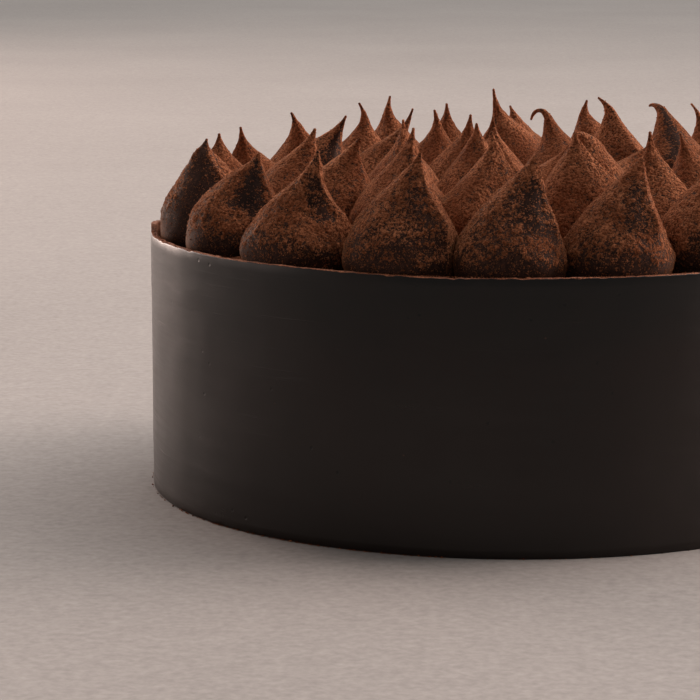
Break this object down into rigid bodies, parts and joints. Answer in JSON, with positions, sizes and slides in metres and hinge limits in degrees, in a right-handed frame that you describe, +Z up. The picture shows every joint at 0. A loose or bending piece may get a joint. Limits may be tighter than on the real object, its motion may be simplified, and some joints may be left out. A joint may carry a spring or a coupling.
{
  "type": "mille crepe cake",
  "caption": "Whole round crepe cake in a tall band of dark chocolate, its top covered with piped ganache peaks dusted with cocoa.",
  "frame": {"origin": "centre of the cake's underside, on the surface that it stands on", "axes": "+Z straight up through the middle of the cake, -Y toward the side that faces the camera, +X to that camera's right"},
  "size_m": [0.2, 0.2, 0.1067],
  "materials": {
    "dark_chocolate": "dark chocolate with a soft satin sheen",
    "cocoa_crumb": "soft dark cake and cream, matte",
    "cocoa_dusted_ganache": "ganache under a coarse dusting of cocoa, matte"
  },
  "bodies": {
    "root": {"chocolate_band": "dark_chocolate", "cake": "cocoa_crumb", "peak_outer_01": "cocoa_dusted_ganache", "peak_outer_02": "cocoa_dusted_ganache", "peak_outer_03": "cocoa_dusted_ganache", "peak_outer_04": "cocoa_dusted_ganache", "peak_outer_05": "cocoa_dusted_ganache", "peak_outer_06": "cocoa_dusted_ganache", "peak_outer_07": "cocoa_dusted_ganache", "peak_outer_08": "cocoa_dusted_ganache", "peak_outer_09": "cocoa_dusted_ganache", "peak_outer_10": "cocoa_dusted_ganache", "peak_outer_11": "cocoa_dusted_ganache", "peak_outer_12": "cocoa_dusted_ganache", "peak_outer_13": "cocoa_dusted_ganache", "peak_outer_14": "cocoa_dusted_ganache", "peak_outer_15": "cocoa_dusted_ganache", "peak_outer_16": "cocoa_dusted_ganache", "peak_outer_17": "cocoa_dusted_ganache", "peak_outer_18": "cocoa_dusted_ganache", "peak_second_01": "cocoa_dusted_ganache", "peak_second_02": "cocoa_dusted_ganache", "peak_second_03": "cocoa_dusted_ganache", "peak_second_04": "cocoa_dusted_ganache", "peak_second_05": "cocoa_dusted_ganache", "peak_second_06": "cocoa_dusted_ganache", "peak_second_07": "cocoa_dusted_ganache", "peak_second_08": "cocoa_dusted_ganache", "peak_second_09": "cocoa_dusted_ganache", "peak_second_10": "cocoa_dusted_ganache", "peak_second_11": "cocoa_dusted_ganache", "peak_second_12": "cocoa_dusted_ganache", "peak_second_13": "cocoa_dusted_ganache", "peak_second_14": "cocoa_dusted_ganache", "peak_third_01": "cocoa_dusted_ganache", "peak_third_02": "cocoa_dusted_ganache", "peak_third_03": "cocoa_dusted_ganache", "peak_third_04": "cocoa_dusted_ganache", "peak_third_05": "cocoa_dusted_ganache", "peak_third_06": "cocoa_dusted_ganache", "peak_third_07": "cocoa_dusted_ganache", "peak_third_08": "cocoa_dusted_ganache", "peak_third_09": "cocoa_dusted_ganache", "peak_inner_01": "cocoa_dusted_ganache", "peak_inner_02": "cocoa_dusted_ganache", "peak_inner_03": "cocoa_dusted_ganache"}
  },
  "joints": []
}
